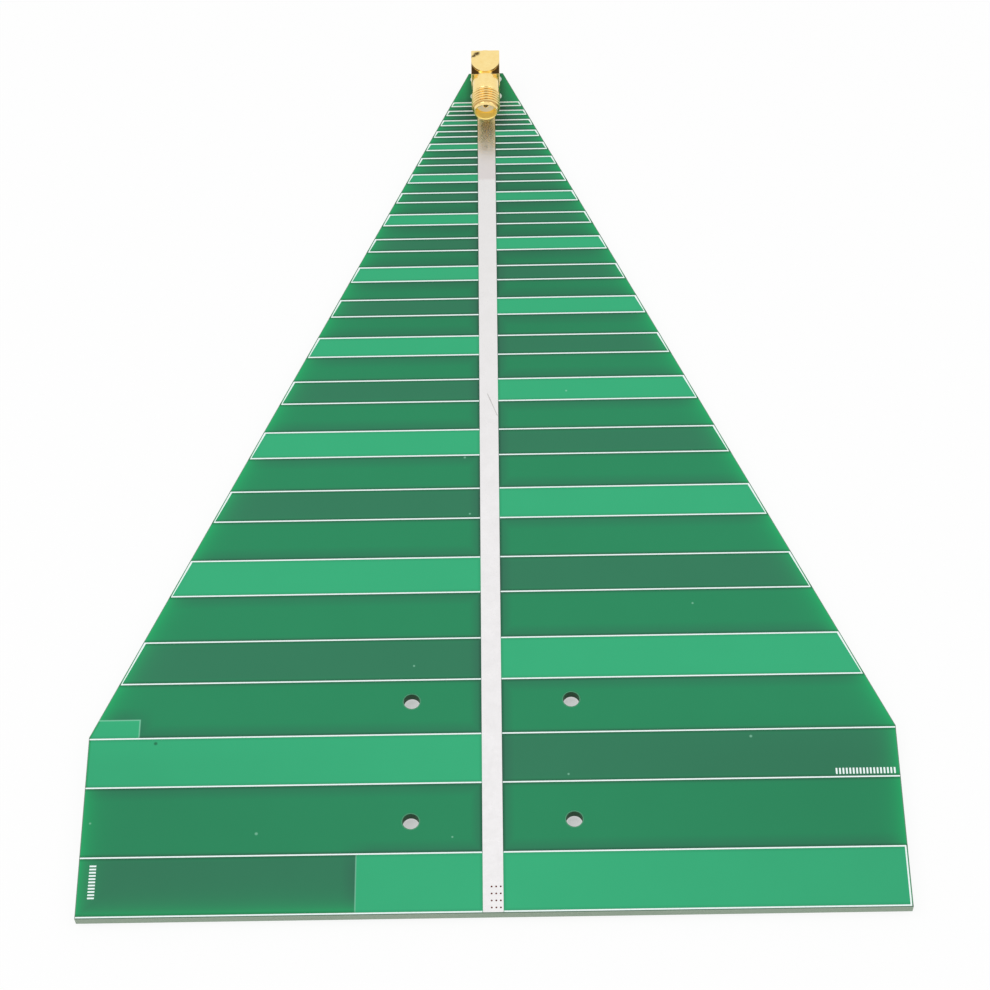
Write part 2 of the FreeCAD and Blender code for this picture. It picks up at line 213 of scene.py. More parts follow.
def speckle(tree, where, per_mm, detail=2.0, roughness=0.5):
    """Soft random mottling, from 0 to 1, with about per_mm spots to a millimetre."""
    noise = tree.nodes.new("ShaderNodeTexNoise")
    noise.inputs["Scale"].default_value = per_mm
    noise.inputs["Detail"].default_value = detail
    noise.inputs["Roughness"].default_value = roughness
    tree.links.new(where, noise.inputs["Vector"])
    return noise.outputs["Fac"]


def relief(tree, shader, height, depth):
    """Feeds a height from 0 to 1 to the shader, as relief of that depth in millimetres."""
    bump = tree.nodes.new("ShaderNodeBump")
    bump.inputs["Distance"].default_value = depth * MM
    tree.links.new(height, bump.inputs["Height"])
    tree.links.new(bump.outputs[0], shader.inputs["Normal"])


print("patterns are counted in spots to a millimetre")

# %% Measure distances with nodes
def product(tree, first, *others):
    """The product of two or more values."""
    for other in others:
        first = maths(tree, "MULTIPLY", first, other)
    return first


def away_from(tree, value, mark):
    """How far a value is from a mark, on either side."""
    return maths(tree, "ABSOLUTE", maths(tree, "SUBTRACT", value, mark))


def length(tree, across, along):
    """The length of a slanting distance, from its two parts."""
    squares = [maths(tree, "POWER", part, 2.0) for part in (across, along)]
    return maths(tree, "SQRT", maths(tree, "ADD", *squares))


def band(tree, value, low, high):
    """Signed distance inside the band from low to high."""
    after = maths(tree, "SUBTRACT", value, low)
    before = maths(tree, "SUBTRACT", high, value)
    return maths(tree, "MINIMUM", after, before)


print("distances in a finish are in millimetres, and positive inside a shape")

# %% Turn distances into cover
def ramp(tree, distance, softness):
    """0 to 1 as a signed distance in millimetres goes from outside to inside."""
    return maths(tree, "MULTIPLY_ADD", distance, 0.5 / softness, 0.5, clamp=True)


def rise(tree, value, start, reach):
    """0 at the start and 1 one reach further on. A negative reach makes it fall instead."""
    return maths(tree, "MULTIPLY_ADD", value, 1 / reach, -start / reach, clamp=True)


def thin_line(tree, off, half_wide, softness=0.05):
    """1 on a thin line, from the distance off its middle and half its width."""
    return ramp(tree, maths(tree, "SUBTRACT", half_wide, off), softness)


def spots(tree, x, y, places):
    """1 inside any of the small round places, each given as x, y and radius in millimetres."""
    total = None
    for spot_x, spot_y, radius in places:
        across = maths(tree, "SUBTRACT", x, spot_x)
        along = maths(tree, "SUBTRACT", y, spot_y)
        inward = maths(tree, "SUBTRACT", radius, length(tree, across, along))
        inside = ramp(tree, inward, radius * 0.4)
        total = inside if total is None else maths(tree, "MAXIMUM", total, inside)
    return total


print("helpers are ready")

# %% [markdown]
# ## Floor and light
# The board lies on a white table in a white room, so its shadow is faint.
# Two wide soft lamps give the light a direction, and a pale room fills the shadows.
# The white behind the board is colour, not extra light, so the board is not washed out.

# %% Tell looking from lighting
def seen_directly(tree):
    """1 for the camera, in reflections and through glass, and 0 for light on the object."""
    rays = tree.nodes.new("ShaderNodeLightPath")
    seen = maths(tree, "MAXIMUM", rays.outputs["Is Camera Ray"], rays.outputs["Is Glossy Ray"])
    return maths(tree, "MAXIMUM", seen, rays.outputs["Is Transmission Ray"])


print("white is shown to the camera and in reflections only")

# %% Lay the floor
FLOOR_GAP = 0.02
FLOOR_SIZE = 4.0

floor_z = cad_box[0][2] - FLOOR_GAP * MM
bpy.ops.object.select_all(action="DESELECT")
bpy.ops.mesh.primitive_plane_add(size=FLOOR_SIZE, location=(0, 0, floor_z))
floor = bpy.context.object
floor.name = "floor"
print("the floor lies", round(-floor_z / MM, 2), "mm below the board's back face")

# %% Paint the floor, with painted shade below the holes
FLOOR_WHITE = 0.9
GLOW_SHARE = 0.9
GLOW_LOST_BELOW_HOLES = 0.5
HOLE_SHADE_RADIUS = 2.6

paint, tree, shader = new_finish("floor paint")
shader.inputs["Base Color"].default_value = (FLOOR_WHITE, FLOOR_WHITE, FLOOR_WHITE, 1)
shader.inputs["Roughness"].default_value = 0.9
shader.inputs["Specular IOR Level"].default_value = 0.1
glow = tree.nodes.new("ShaderNodeEmission")
glow.inputs["Strength"].default_value = 1.0
both = tree.nodes.new("ShaderNodeMixShader")
x, y, _ = split(tree, place_in_mm(tree))
holes = [(side * HOLE_X, end * HOLE_Y) for side in (-1, 1) for end in (-1, 1)]
# below the four holes less white glow is shown, a painted shade where the board shades the floor
shade_below_holes = spots(tree, x, y, [(*hole, HOLE_SHADE_RADIUS) for hole in holes])
share = maths(tree, "MULTIPLY_ADD", shade_below_holes, -GLOW_LOST_BELOW_HOLES, GLOW_SHARE)
tree.links.new(maths(tree, "MULTIPLY", seen_directly(tree), share), both.inputs[0])
tree.links.new(shader.outputs[0], both.inputs[1])
tree.links.new(glow.outputs[0], both.inputs[2])
tree.links.new(both.outputs[0], tree.nodes["Material Output"].inputs["Surface"])
floor.data.materials.append(paint)
print("the floor is darker in", len(holes), "places")

# %% The pale room
ROOM_STRENGTH = 0.62

world = bpy.data.worlds.new("white room")
bpy.context.scene.world = world
world.use_nodes = True
tree = world.node_tree
air = tree.nodes["Background"]
air.inputs["Color"].default_value = (1, 1, 1, 1)
extra = 1.0 - ROOM_STRENGTH
strength = maths(tree, "MULTIPLY_ADD", seen_directly(tree), extra, ROOM_STRENGTH)
tree.links.new(strength, air.inputs["Strength"])
print("the room lights the board with", ROOM_STRENGTH, "of full white")

# %% Two soft lamps
LAMP_WIDTH = 0.9
LAMP_TARGET = (0, 0.07, 0)


def lamp(name, power, where):
    """A square soft lamp that faces the middle of the board. Its place is in metres."""
    data = bpy.data.lights.new(name, "AREA")
    data.size = LAMP_WIDTH
    data.energy = power
    lamp_object = bpy.data.objects.new(name, data)
    bpy.context.scene.collection.objects.link(lamp_object)
    lamp_object.location = where
    aim = Vector(LAMP_TARGET) - Vector(where)
    lamp_object.rotation_euler = aim.to_track_quat("-Z", "Y").to_euler()
    return lamp_object


lamps = [
    lamp("main softbox", 5.6, (-0.6, -0.1, 1.15)),
    lamp("fill softbox", 3.4, (0.75, -0.05, 1.0)),
]
print("lamps:", ", ".join(each.name for each in lamps))

# %% [markdown]
# ## The green surface
# A thin green lacquer covers each face, and what lies under it decides how bright it looks.
# Over copper it is a light green. Over bare laminate it is deeper, and where only the far
# face has copper it is the darkest, with soft edges, because the laminate blurs what is below.
# Cutting the lacquer into zones would work too, but the arms follow one rule,
# so a few nodes can tell any point which arm it is over.

# %% Find the sides of the board
def half_width(tree, y):
    """Half the board's width level with a point: even at first, then tapering to the tip."""
    tapering = maths(tree, "MULTIPLY_ADD", y, -TAPER, BOARD_HALF + TAPER * SHOULDER_Y)
    return maths(tree, "MINIMUM", tapering, BOARD_HALF)


def inside_sides(tree, x, y):
    """How far a point is inside the nearer long side."""
    return maths(tree, "SUBTRACT", half_width(tree, y), maths(tree, "ABSOLUTE", x))


print("the board narrows by", round(2 * TAPER, 3), "mm to each millimetre")

# %% Find the edges of the arm that a point is level with
def arm_edges(tree, y):
    """A point's distance from the apex, the arm that it is level with, and the arm's edges.

    The edges are the arm's near and far ones and the near one of the next arm.
    """
    radius = maths(tree, "SUBTRACT", APEX_Y, y)
    shrink = maths(tree, "DIVIDE", SECOND_ARM_RADIUS, radius)
    count = maths(tree, "FLOOR", maths(tree, "LOGARITHM", shrink, 1 / ARM_RATIO))
    near = maths(tree, "MULTIPLY", maths(tree, "POWER", ARM_RATIO, count), SECOND_ARM_RADIUS)
    far = maths(tree, "MULTIPLY", near, FAR_SHARE)
    following = maths(tree, "MULTIPLY", near, ARM_RATIO)
    return radius, count, (near, far, following)


print("each arm is", round(100 * (1 - FAR_SHARE), 1), "percent as deep as it is far from the apex")

# %% Find the smaller arms
def counted(tree, count, first, end):
    """1 where the whole number count is at least the first and less than the end."""
    after = maths(tree, "GREATER_THAN", count, first - 0.5)
    before = maths(tree, "LESS_THAN", count, end - 0.5)
    return maths(tree, "MULTIPLY", after, before)


def smaller_arms(tree, y, right, face, softness):
    """Cover by the arms of one face, which take turns on the left and the right."""
    radius, count, (near, far, following) = arm_edges(tree, y)
    turn_taken = maths(tree, "ADD", count, right)
    if face == "back":
        turn_taken = maths(tree, "ADD", turn_taken, 1.0)
    odd = maths(tree, "FLOORED_MODULO", turn_taken, 2.0)
    here = maths(tree, "LESS_THAN", odd, 0.5)
    next_here = maths(tree, "SUBTRACT", 1.0, here)
    here = product(tree, here, counted(tree, count, 0, SMALLER_ARMS))
    next_here = product(tree, next_here, counted(tree, count, -1, SMALLER_ARMS - 1))
    own = ramp(tree, band(tree, radius, far, near), softness)
    next_one = ramp(tree, maths(tree, "SUBTRACT", following, radius), softness)
    return maths(tree, "MULTIPLY_ADD", own, here, product(tree, next_one, next_here))


last_arm_y = APEX_Y - SECOND_ARM_RADIUS * ARM_RATIO ** (SMALLER_ARMS - 1)
print("the last arm starts", round(last_arm_y, 1), "mm along the board")

# %% Add the largest arm, the patch and the tab
ARM_END_SOFTNESS = 0.1
PATCH_UNDER_BOOM = 1.0
TAB_OVERLAP = 1.0


def arm_cover(tree, x, y, face, softness):
    """How much of a point is over the copper arms of this face: 0 for none and 1 for all."""
    right = maths(tree, "GREATER_THAN", x, 0.0)
    arms = smaller_arms(tree, y, right, face, softness)
    largest = ramp(tree, band(tree, y, *LARGEST_ARM), softness)
    side = right if face == "front" else maths(tree, "SUBTRACT", 1.0, right)
    arms = maths(tree, "MAXIMUM", arms, product(tree, largest, side))
    if face == "front":
        patch = ramp(tree, band(tree, x, -PATCH_REACH, PATCH_UNDER_BOOM), softness)
        arms = maths(tree, "MAXIMUM", arms, product(tree, largest, patch))
        tab_ends = (TAB_FOOT_Y - TAB_OVERLAP, TAB_FOOT_Y + TAB_DEPTH)
        tab = ramp(tree, band(tree, y, *tab_ends), softness)
        outer = ramp(tree, maths(tree, "SUBTRACT", -TAB_START, x), softness)
        arms = maths(tree, "MAXIMUM", arms, product(tree, tab, outer))
    within = maths(tree, "SUBTRACT", inside_sides(tree, x, y), ARM_END_INSET)
    return product(tree, arms, ramp(tree, within, min(softness, ARM_END_SOFTNESS)))


print("the tab stands on the second arm, at", round(TAB_FOOT_Y, 2), "mm along the board")

# %% Find the printed lines
FAR_AWAY = 99.0
LAST_LINE_Y = BLOCK_FRONT_Y - 2.0
FIRST_LINE_Y = APEX_Y - SECOND_ARM_RADIUS - 1.0


def nearest(tree, gaps):
    """The smallest of several distances."""
    smallest = gaps[0]
    for gap in gaps[1:]:
        smallest = maths(tree, "MINIMUM", smallest, gap)
    return smallest


def beside_lines(tree, x, y, start, reach):
    """1 right beside a printed line or the boom, fading to 0 over the reach."""
    radius, _, edges = arm_edges(tree, y)
    gap = nearest(tree, [away_from(tree, radius, edge) for edge in edges])
    past_last = maths(tree, "GREATER_THAN", y, LAST_LINE_Y)
    before_first = maths(tree, "LESS_THAN", y, FIRST_LINE_Y)
    for no_line in (past_last, before_first):
        gap = maths(tree, "MULTIPLY_ADD", no_line, FAR_AWAY, gap)
    boom = away_from(tree, maths(tree, "ABSOLUTE", x), BOOM_HALF - start)
    largest = [away_from(tree, y, edge) for edge in LARGEST_ARM]
    gap = nearest(tree, [gap, *largest, boom])
    return rise(tree, gap, start + reach, -reach)


print("lines of the smaller arms run from", round(FIRST_LINE_Y, 1), "to", LAST_LINE_Y, "mm")

# %% [markdown]
# ## The lacquer's colour
# The lacquer lets light into the laminate. That light is painted: copper beside a point darkens it
# as painted shade, as well as copper below it, and the rim by the sawn edge is painted brighter.
# One flat green could be painted with dark and light strips, but the soft edges come by
# themselves when the same arms are looked up again with more and more blur.

# %% What lies below each point
SHARP = 0.06
BLURRED_BY_BOARD = 1.2
# the next two blurs set how far the painted shade beside copper and beside the boom reaches
SHADE_BLUR_BESIDE = 3.0
SHADE_BLUR_AT_BOOM = 2.4


def under_lacquer(tree, x, y, face):
    """Cover by this face's copper, by the far face's, and by copper beside the point, for painted
    shade.
    """
    other = "back" if face == "front" else "front"
    copper = arm_cover(tree, x, y, face, SHARP)
    far_copper = arm_cover(tree, x, y, other, BLURRED_BY_BOARD)
    # copper beside the point, and the boom, blurred, mark where shade is painted
    beside = arm_cover(tree, x, y, face, SHADE_BLUR_BESIDE)
    from_boom = maths(tree, "SUBTRACT", BOOM_HALF, maths(tree, "ABSOLUTE", x))
    beside = maths(tree, "MAXIMUM", beside, ramp(tree, from_boom, SHADE_BLUR_AT_BOOM))
    return copper, far_copper, beside


print("the board blurs the far copper by", BLURRED_BY_BOARD, "mm")

# %% The greens
OVER_COPPER = linear(50, 171, 119)
OVER_LAMINATE = linear(34, 134, 89)
# the rim green is painted light, as if let in at the sawn edge
LIT_LAMINATE_RIM = linear(28, 177, 104)
OVER_FAR_COPPER = linear(45, 119, 86)
# the green beside copper is painted shade
SHADE_BESIDE_COPPER = linear(47, 88, 76)
BARE_RIM = linear(112, 132, 118)
RIM_DEPTH = 1.7
BARE_WIDTH = 0.16


def lacquer_colour(tree, x, y, copper, far_copper, beside):
    """The green of a point, from what lies below it, with painted shade beside copper and painted
    light at the rim.
    """
    along = maths(tree, "SUBTRACT", y, NEAR_EDGE_Y)
    inward = maths(tree, "MINIMUM", inside_sides(tree, x, y), along)
    rim = maths(tree, "EXPONENT", maths(tree, "MULTIPLY", inward, -1 / RIM_DEPTH))
    colour = paint_over(tree, OVER_LAMINATE, far_copper, 0.95, OVER_FAR_COPPER)
    # painted shade beside copper
    colour = paint_over(tree, colour, beside, 0.9, SHADE_BESIDE_COPPER)
    # painted light on the rim by the sawn edge
    colour = paint_over(tree, colour, rim, 0.78, LIT_LAMINATE_RIM)
    colour = blend(tree, copper, colour, OVER_COPPER)
    return paint_over(tree, colour, thin_line(tree, inward, BARE_WIDTH), 0.8, BARE_RIM)


print("greens made, with a bright rim", RIM_DEPTH, "mm deep")

# %% Painted edge highlights and small marks on the front
LIT_EDGE = linear(150, 222, 190)
PALE_SPECK = linear(150, 215, 185)
DARK_SPECK = linear(22, 92, 60)
TAB_HIGHLIGHT_HALF = 0.13
PATCH_HIGHLIGHT_HALF = 0.12
PATCH_HIGHLIGHT_X = -PATCH_REACH - 0.06
PALE_SPECKS = [
    (-45.25, -15.1, 0.28),
    (-77.3, -12.4, 0.2),
    (14.8, -3.4, 0.2),
    (-7.7, -16.4, 0.18),
    (50.5, 4.2, 0.26),
    (-5.1, 70.4, 0.24),
    (-4.1, 56.5, 0.2),
    (16.4, 86.9, 0.2),
    (40.6, 34.4, 0.2),
    (-15.3, 21.0, 0.2),
]
DARK_SPECKS = [(-65.7, 4.6, 0.34)]
print("specks:", len(PALE_SPECKS), "pale and", len(DARK_SPECKS), "dark")

# %% Draw the marks on the lacquer
def marked(tree, x, y, colour):
    """Adds painted highlights on the edges of the tab and the patch, and the specks in the
    lacquer.
    """
    # a painted highlight along the copper edge of the tab
    across = maths(tree, "SUBTRACT", -TAB_START, x)
    along = maths(tree, "SUBTRACT", TAB_FOOT_Y + TAB_DEPTH, y)
    off = maths(tree, "ABSOLUTE", maths(tree, "MINIMUM", across, along))
    on_board = maths(tree, "GREATER_THAN", y, TAB_FOOT_Y)
    tab_edge_highlight = product(tree, thin_line(tree, off, TAB_HIGHLIGHT_HALF), on_board)
    colour = paint_over(tree, colour, tab_edge_highlight, 0.55, LIT_EDGE)
    # a painted highlight along the copper edge of the patch
    off = away_from(tree, x, PATCH_HIGHLIGHT_X)
    on_arm = ramp(tree, band(tree, y, *LARGEST_ARM), 0.05)
    patch_edge_highlight = product(tree, thin_line(tree, off, PATCH_HIGHLIGHT_HALF), on_arm)
    colour = paint_over(tree, colour, patch_edge_highlight, 0.42, LIT_EDGE)
    colour = paint_over(tree, colour, spots(tree, x, y, PALE_SPECKS), 0.5, PALE_SPECK)
    return paint_over(tree, colour, spots(tree, x, y, DARK_SPECKS), 0.75, DARK_SPECK)


print("pale edges are", 2 * TAB_HIGHLIGHT_HALF, "and", 2 * PATCH_HIGHLIGHT_HALF, "mm wide")

# %% Where the green is darker, much of it painted shade
CROWDED_ARMS = (85.0, 45.0)
CROWDED_MIDDLE = (1.5625, -1.25)
WIDE_END = (10.0, -10.0)
LAST_ARMS = (128.0, 14.0)
BESIDE_BLOCK = (4.8, -1.6)
UNDER_JACK = (159.0, 6.0)
LINE_START = 0.12
LINE_REACH = 0.65
LINE_DARKENS = {"front": 1.0, "back": 0.35}


def darkened(tree, value, cover, strength):
    """Takes a share off a value where the cover is 1. A strength of -0.1 takes a tenth."""
    return maths(tree, "MULTIPLY", value, maths(tree, "MULTIPLY_ADD", cover, strength, 1.0))


def lacquer_value(tree, where, x, y, face, copper, far_copper):
    """How bright the lacquer is at a point, with 1 for its plain colour."""
    aside = maths(tree, "ABSOLUTE", x)
    outward = maths(tree, "DIVIDE", aside, half_width(tree, y))
    value = maths(tree, "MULTIPLY_ADD", speckle(tree, where, 0.12, 3.0), 0.05, 0.975)
    bare = maths(tree, "SUBTRACT", 1.0, copper)
    # painted shade where the arms crowd, lighter over the far copper
    shade_among_crowded_arms = rise(tree, y, *CROWDED_ARMS)
    shade_among_crowded_arms = product(tree, shade_among_crowded_arms, rise(tree, outward, *CROWDED_MIDDLE), bare)
    depth = maths(tree, "MULTIPLY_ADD", far_copper, 0.12, -0.21)
    value = darkened(tree, value, shade_among_crowded_arms, depth)
    # darker towards the outer sides at the wide end
    wide_end = product(tree, rise(tree, y, *WIDE_END), outward)
    value = darkened(tree, value, wide_end, -0.1)
    # darker over the copper of the last arms
    last_arms = product(tree, rise(tree, y, *LAST_ARMS), copper)
    value = darkened(tree, value, last_arms, -0.13)
    # painted shade on the lacquer beside the jack
    painted_shade_beside_jack = product(tree, rise(tree, aside, *BESIDE_BLOCK), rise(tree, y, *UNDER_JACK))
    value = darkened(tree, value, painted_shade_beside_jack, -0.45)
    # painted thin shade beside each printed line and the boom, weaker on the back
    printed = LINE_DARKENS[face]
    depth = maths(tree, "MULTIPLY_ADD", copper, 0.25 * printed, -0.48 * printed)
    return darkened(tree, value, beside_lines(tree, x, y, LINE_START, LINE_REACH), depth)


print("the lacquer is darker over", LINE_REACH, "mm beside each printed line")

# %% Put the lacquer together
def green_lacquer(name, face):
    """The whole finish of the lacquer, for the front or the back of the board."""
    finish, tree, shader = new_finish(name)
    where = place_in_mm(tree)
    x, y, _ = split(tree, where)
    copper, far_copper, beside = under_lacquer(tree, x, y, face)
    colour = lacquer_colour(tree, x, y, copper, far_copper, beside)
    if face == "front":
        colour = marked(tree, x, y, colour)
    value = lacquer_value(tree, where, x, y, face, copper, far_copper)
    tone = tree.nodes.new("ShaderNodeHueSaturation")
    tree.links.new(value, tone.inputs["Value"])
    tree.links.new(colour, tone.inputs["Color"])
    tree.links.new(tone.outputs[0], shader.inputs["Base Color"])
    grain = speckle(tree, where, 5.0, 2.0)
    shader.inputs["Specular IOR Level"].default_value = 0.2
    tree.links.new(maths(tree, "MULTIPLY_ADD", grain, 0.08, 0.2), shader.inputs["Roughness"])
    relief(tree, shader, maths(tree, "MULTIPLY_ADD", grain, 0.04, copper), 0.035)
    return finish


FINISHES = {
    "front_solder_mask": green_lacquer("green lacquer, front", "front"),
    "back_solder_mask": green_lacquer("green lacquer, back", "back"),
}
print("lacquer made for", ", ".join(FINISHES))

# %% [markdown]
# ## Laminate and copper
# The sawn edge of the laminate is a pale grey green with fine stripes of glass cloth.
# A stack of thin sheets would be closest to the real thing, but at this size a wave texture
# that runs up the edge shows the same stripes.
# Green lacquer has run into the four mounting holes, so their walls are green, painted dark as
# shade.

# %% Laminate
HOLE_WALL_RADIUS = 1.63
HOLE_RING_RADIUS = 2.2


def sawn_laminate():
    """Stripes of cloth on the edge, and the colours of the hole walls, dark with painted shade."""
    finish, tree, shader = new_finish("glass-fibre laminate")
    where = place_in_mm(tree)
    x, y, _ = split(tree, where)
    layers = tree.nodes.new("ShaderNodeTexWave")
    layers.bands_direction = "Z"
    layers.inputs["Scale"].default_value = 1.6
    layers.inputs["Distortion"].default_value = 1.5
    layers.inputs["Detail"].default_value = 2.0
    tree.links.new(where, layers.inputs["Vector"])
    flecks = speckle(tree, where, 3.0, 3.0)
    colour = blend(tree, layers.outputs["Fac"], linear(128, 148, 128), linear(150, 170, 148))
    colour = paint_over(tree, colour, flecks, 0.35, linear(176, 190, 172))
    across = maths(tree, "SUBTRACT", maths(tree, "ABSOLUTE", x), HOLE_X)
    along = maths(tree, "SUBTRACT", maths(tree, "ABSOLUTE", y), HOLE_Y)
    away = length(tree, across, along)
    ring = maths(tree, "LESS_THAN", away, HOLE_RING_RADIUS)
    # inside each hole the wall is painted dark green as shade
    shaded_hole_wall = maths(tree, "LESS_THAN", away, HOLE_WALL_RADIUS)
    colour = blend(tree, ring, colour, linear(62, 142, 104))
    colour = blend(tree, shaded_hole_wall, colour, linear(10, 78, 40))
    tree.links.new(colour, shader.inputs["Base Color"])
    shader.inputs["Roughness"].default_value = 0.62
    relief(tree, shader, flecks, 0.03)
    return finish


FINISHES["fr4_laminate"] = sawn_laminate()
print("laminate made, with green walls in", len(holes), "holes")

# %% Copper
def bare_copper():
    """Copper foil and the plating in the holes, a little stained."""
    finish, tree, shader = new_finish("copper foil")
    stain = speckle(tree, place_in_mm(tree), 2.0, 3.0)
    colour = blend(tree, stain, linear(196, 120, 84), linear(222, 152, 112))
    tree.links.new(colour, shader.inputs["Base Color"])
    shader.inputs["Metallic"].default_value = 1.0
    tree.links.new(maths(tree, "MULTIPLY_ADD", stain, 0.2, 0.25), shader.inputs["Roughness"])
    return finish


copper = bare_copper()
COPPER_PARTS = (
    "front_copper",
    "back_copper",
    "via_barrels",
    "leg_hole_plating",
    "pin_hole_plating",
)
for name in COPPER_PARTS:
    FINISHES[name] = copper
print("copper parts:", len(COPPER_PARTS))

# %% [markdown]
# ## Tin and ink
# The boom is bright tin, which flows a little unevenly when it is levelled.
# Below the jack it is painted a dull pinkish grey with less metal, a painted reflection of the
# jack, and one thin scratch slants across the front. The scratch could be a thin layer, but it has
# no thickness to see, so it is colour.
# The outlines of the arms are printed in white ink, which is matt and slightly broken.

# %% Marks on the front tin
SCRATCH_SLOPE = 2.75
SCRATCH_Y = 85.7
SCRATCH_ENDS = (80.8, 86.5)
DARKER_TO_TIP = (60.0, 400 / 3)
DULL_FROM_Y = 144.7
DULL_FADES = (161.25, -25.0)


def scratched(tree, x, y, ripples, colour):
    """A thin scratch that slants across the strip."""
    along = maths(tree, "MULTIPLY_ADD", x, SCRATCH_SLOPE, -SCRATCH_Y)
    off = maths(tree, "ABSOLUTE", maths(tree, "ADD", y, along))
    scratch = thin_line(tree, off, 0.3, 0.12)
    short = ramp(tree, band(tree, y, *SCRATCH_ENDS), 0.2)
    scratch = product(tree, scratch, short, ripples)
    return paint_over(tree, colour, scratch, 0.9, linear(138, 132, 128))


def dulled_near_jack(tree, y, colour):
    """Darkens the strip a little towards the tip, and finds the patch painted as the jack's dull
    reflection.
    """
    towards_tip = rise(tree, y, *DARKER_TO_TIP)
    colour = blend(tree, towards_tip, colour, linear(224, 222, 220))
    # below the jack the tin is painted a dull pinkish grey, a painted reflection of the jack
    dull = ramp(tree, maths(tree, "SUBTRACT", y, DULL_FROM_Y), 0.4)
    dull = maths(tree, "MULTIPLY", product(tree, dull, rise(tree, y, *DULL_FADES)), 0.75)
    return blend(tree, dull, colour, linear(200, 189, 188)), dull


print("the tin is dull from", DULL_FROM_Y, "mm along")

# %% Levelled tin
BESIDE_LEGS_Y = BLOCK_FRONT_Y - 2.4


def levelled_tin(name, face):
    """Bright tin. The front strip also has the marks that the photograph shows."""
    finish, tree, shader = new_finish(name)
    where = place_in_mm(tree)
    x, y, _ = split(tree, where)
    clouds = speckle(tree, where, 0.35, 4.0, 0.6)
    ripples = speckle(tree, where, 1.3, 3.0)
    colour = blend(tree, clouds, linear(228, 226, 226), linear(243, 241, 242))
    rough = maths(tree, "MULTIPLY_ADD", ripples, 0.16, 0.16)
    shader.inputs["Metallic"].default_value = 1.0
    if face == "front":
        colour, dull = dulled_near_jack(tree, y, colour)
        colour = scratched(tree, x, y, ripples, colour)
        # the painted reflection below the jack also gets less metal and more roughness
        rough = maths(tree, "MULTIPLY_ADD", dull, 0.3, rough)
        metal = maths(tree, "MULTIPLY_ADD", dull, -0.7, 1.0)
        tree.links.new(metal, shader.inputs["Metallic"])
    # beside the legs the tin is painted darker and greenish, as shade from the block
    painted_shade_by_legs = maths(tree, "GREATER_THAN", y, BESIDE_LEGS_Y)
    colour = paint_over(tree, colour, painted_shade_by_legs, 0.7, linear(176, 198, 184))
    tree.links.new(colour, shader.inputs["Base Color"])
    tree.links.new(rough, shader.inputs["Roughness"])
    relief(tree, shader, ripples, 0.012)
    return finish


for face in ("front", "back"):
    FINISHES[face + "_boom_tin"] = levelled_tin("levelled tin, " + face, face)
print("tin made for both faces, with marks on the front")

# %% Printed ink
def printed_ink():
    """White ink, worn a little greenish where it is thin."""
    finish, tree, shader = new_finish("white printed ink")
    breaks = speckle(tree, place_in_mm(tree), 3.5, 3.0)
    worn = maths(tree, "SUBTRACT", breaks, 0.55, clamp=True)
    worn = maths(tree, "MULTIPLY", worn, 2.5, clamp=True)
    colour = blend(tree, worn, linear(236, 248, 246), linear(182, 218, 206))
    tree.links.new(colour, shader.inputs["Base Color"])
    shader.inputs["Roughness"].default_value = 0.55
    relief(tree, shader, breaks, 0.004)
    return finish


FINISHES["front_silkscreen"] = printed_ink()
print("board finishes:", len(FINISHES))

# %% [markdown]
# ## The jack's finishes
# The jack is brass under a thin coat of gold. The gold is clean on the barrel, painted darker in
# the grooves of the thread as shade, and on top of the block stained by flux, with painted shade
# in the front corners. Each of these could be a small loose patch, but then its edge would be
# hard, so it is painted.
# The sleeves are white plastic, and the joints are bright solder.

# %% Stains and painted shade on top of the block
BLOCK_TOP_Z = 10.7
CAP_RADIUS = 3.12
CORNER_X = 1.35
FLUX_SPOTS = [(-1.95, 173.85, 0.66), (-2.6, 173.2, 0.5)]


def shade_and_stain_cover(tree, where, scuffs):
    """Painted shade in the two front corners beside the round cap, and a spot of flux behind."""
    x, y, z = split(tree, where)
    top = maths(tree, "GREATER_THAN", z, BLOCK_TOP_Z)
    along = maths(tree, "SUBTRACT", y, BLOCK_Y)
    front = maths(tree, "LESS_THAN", along, 0.0)
    past_cap = maths(tree, "SUBTRACT", length(tree, x, along), CAP_RADIUS)
    aside = maths(tree, "SUBTRACT", maths(tree, "ABSOLUTE", x), CORNER_X)
    # painted shade in the two front corners beside the cap
    corners = product(tree, ramp(tree, past_cap, 0.06), front, ramp(tree, aside, 0.25))
    broken = maths(tree, "MULTIPLY_ADD", scuffs, 0.8, 0.55, clamp=True)
    flux = product(tree, spots(tree, x, y, FLUX_SPOTS), broken)
    return product(tree, maths(tree, "MAXIMUM", corners, flux), top)


print("flux spots on the block:", len(FLUX_SPOTS))

# %% Shade in the thread and in the bore
GROOVE_RADIUS = 2.98
GROOVE_ENDS = (JACK_FRONT_Y + 0.78, JACK_FRONT_Y + 5.1)
THREAD_FLOOR_RADIUS = 2.5
BORE_RADIUS_SHOWN = 2.47


def thread_and_bore(tree, where):
    """Cover for the painted shade in the grooves of the thread, and cover by the bore."""
    x, y, z = split(tree, where)
    radius = length(tree, x, maths(tree, "SUBTRACT", z, JACK_AXIS_Z))
    groove_shade = ramp(tree, maths(tree, "SUBTRACT", GROOVE_RADIUS, radius), 0.14)
    cut = ramp(tree, band(tree, y, *GROOVE_ENDS), 0.05)
    outside = maths(tree, "GREATER_THAN", radius, THREAD_FLOOR_RADIUS)
    bore = maths(tree, "LESS_THAN", radius, BORE_RADIUS_SHOWN)
    return product(tree, groove_shade, cut, outside), bore


print("grooves are shaded over", round(GROOVE_ENDS[1] - GROOVE_ENDS[0], 2), "mm")

